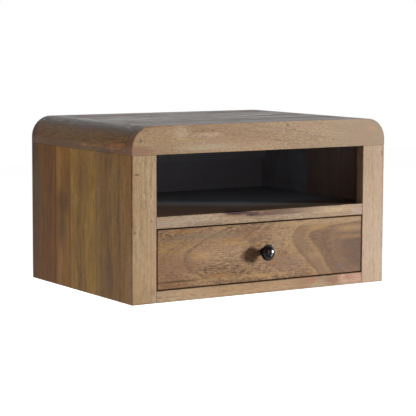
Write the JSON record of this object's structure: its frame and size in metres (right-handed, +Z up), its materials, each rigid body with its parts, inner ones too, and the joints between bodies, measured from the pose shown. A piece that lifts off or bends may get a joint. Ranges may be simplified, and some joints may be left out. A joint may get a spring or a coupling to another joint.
{
  "type": "floating nightstand",
  "caption": "Wall-hung wooden nightstand with rounded top corners, an open niche and an inset drawer that slides out on a turned metal knob.",
  "frame": {"origin": "on the wall plane, midway between the two keyhole hangers, at the height of the screws that they hang on", "axes": "+X to the viewer's right along the width, +Y into the wall (the front faces -Y), +Z up"},
  "size_m": [0.5, 0.3738, 0.283],
  "materials": {
    "mango_frame": "oiled, satin, light brown with flecks",
    "mango_side": "oiled, satin, mid brown staves",
    "mango_top": "oiled, satin sheen",
    "mango_shelf": "oiled, satin, with darker bark streaks",
    "mango_drawer": "oiled, satin, curly figure",
    "drawer_box_wood": "planed, unfinished",
    "plywood": "sanded, unfinished",
    "dowel_wood": "turned, unfinished",
    "zinc_steel": "zinc plated",
    "dark_metal": "blackened and polished"
  },
  "bodies": {
    "case": {"back_panel": "plywood", "back_screw_left_lower": "zinc_steel", "back_screw_left_upper": "zinc_steel", "back_screw_right_lower": "zinc_steel", "back_screw_right_upper": "zinc_steel", "bottom_board": "mango_shelf", "bottom_dowel_left_front": "dowel_wood", "bottom_dowel_left_rear": "dowel_wood", "bottom_dowel_right_front": "dowel_wood", "bottom_dowel_right_rear": "dowel_wood", "corner_dowel_left_front": "dowel_wood", "corner_dowel_left_rear": "dowel_wood", "corner_dowel_right_front": "dowel_wood", "corner_dowel_right_rear": "dowel_wood", "hanger_screw_left_lower": "zinc_steel", "hanger_screw_left_upper": "zinc_steel", "hanger_screw_right_lower": "zinc_steel", "hanger_screw_right_upper": "zinc_steel", "hanging_rail": "drawer_box_wood", "left_closing_stop": "drawer_box_wood", "left_corner_block": "mango_side", "left_drawer_guide": "drawer_box_wood", "left_hanger_plate": "zinc_steel", "left_side_panel": "mango_side", "left_stile": "mango_frame", "pull_stop": "drawer_box_wood", "pull_stop_screw_left": "zinc_steel", "pull_stop_screw_right": "zinc_steel", "right_closing_stop": "drawer_box_wood", "right_corner_block": "mango_side", "right_drawer_guide": "drawer_box_wood", "right_hanger_plate": "zinc_steel", "right_side_panel": "mango_side", "right_stile": "mango_frame", "shelf_board": "mango_shelf", "shelf_dowel_left_front": "dowel_wood", "shelf_dowel_left_rear": "dowel_wood", "shelf_dowel_right_front": "dowel_wood", "shelf_dowel_right_rear": "dowel_wood", "top_board": "mango_top", "top_dowel_left_front": "dowel_wood", "top_dowel_left_rear": "dowel_wood", "top_dowel_right_front": "dowel_wood", "top_dowel_right_rear": "dowel_wood", "top_rail": "mango_frame"},
    "drawer": {"drawer_back": "drawer_box_wood", "drawer_bottom": "plywood", "drawer_front": "mango_drawer", "drawer_inner_front": "drawer_box_wood", "drawer_left_side": "drawer_box_wood", "drawer_right_side": "drawer_box_wood", "front_screw_left_lower": "zinc_steel", "front_screw_left_upper": "zinc_steel", "front_screw_right_lower": "zinc_steel", "front_screw_right_upper": "zinc_steel", "knob": "dark_metal", "knob_screw": "zinc_steel"}
  },
  "joints": [
    {"name": "drawer_slide", "type": "slide", "parent": "case", "child": "drawer", "axis": [0, -1, 0], "range_m": [0, 0.24]}
  ]
}
